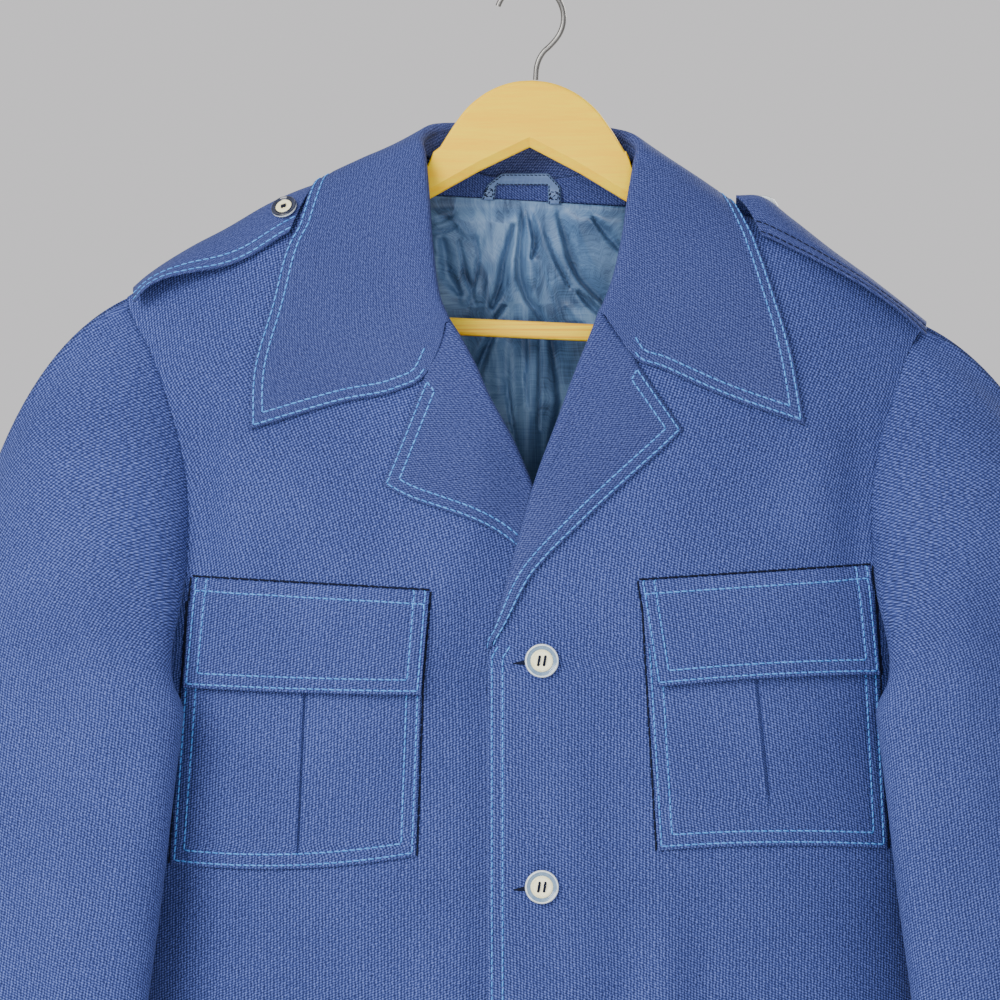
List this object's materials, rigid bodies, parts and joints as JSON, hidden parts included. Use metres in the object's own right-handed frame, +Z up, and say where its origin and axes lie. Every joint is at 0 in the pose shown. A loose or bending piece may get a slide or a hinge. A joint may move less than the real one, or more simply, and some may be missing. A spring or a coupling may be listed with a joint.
{
  "type": "safari jacket on a wooden hanger",
  "caption": "Hip-length knitted safari jacket with a notched collar, lapels, chest patch pockets with flaps, shoulder straps and a satin lining, hanging on a wooden hanger with a steel hook.",
  "frame": {"origin": "inside top of the hanger's hook, where it rests on a rod", "axes": "+Z up; the jacket's front faces -Y; the wearer's left is +X"},
  "size_m": [0.736, 0.1785, 0.9183],
  "materials": {
    "knit": "navy double knit",
    "satin": "steel-blue satin",
    "pearl": "pearly cast resin",
    "wood": "clear-varnished beech",
    "steel": "drawn wire"
  },
  "bodies": {
    "root": {"front_left": "knit", "front_right": "knit", "back": "knit", "sleeve_left": "knit", "sleeve_right": "knit", "collar": "knit", "lapel_left": "knit", "lapel_right": "knit", "pocket_left": "knit", "pocket_right": "knit", "flap_left": "knit", "flap_right": "knit", "strap_left": "knit", "strap_right": "knit", "neck_facing": "knit", "lining_back": "satin", "hang_loop": "satin", "button_1": "pearl", "button_2": "pearl", "button_3": "pearl", "button_4": "pearl", "strap_button_left": "pearl", "strap_button_right": "pearl", "hanger_arms": "wood", "hanger_bar": "wood", "hanger_hook": "steel"}
  },
  "joints": []
}
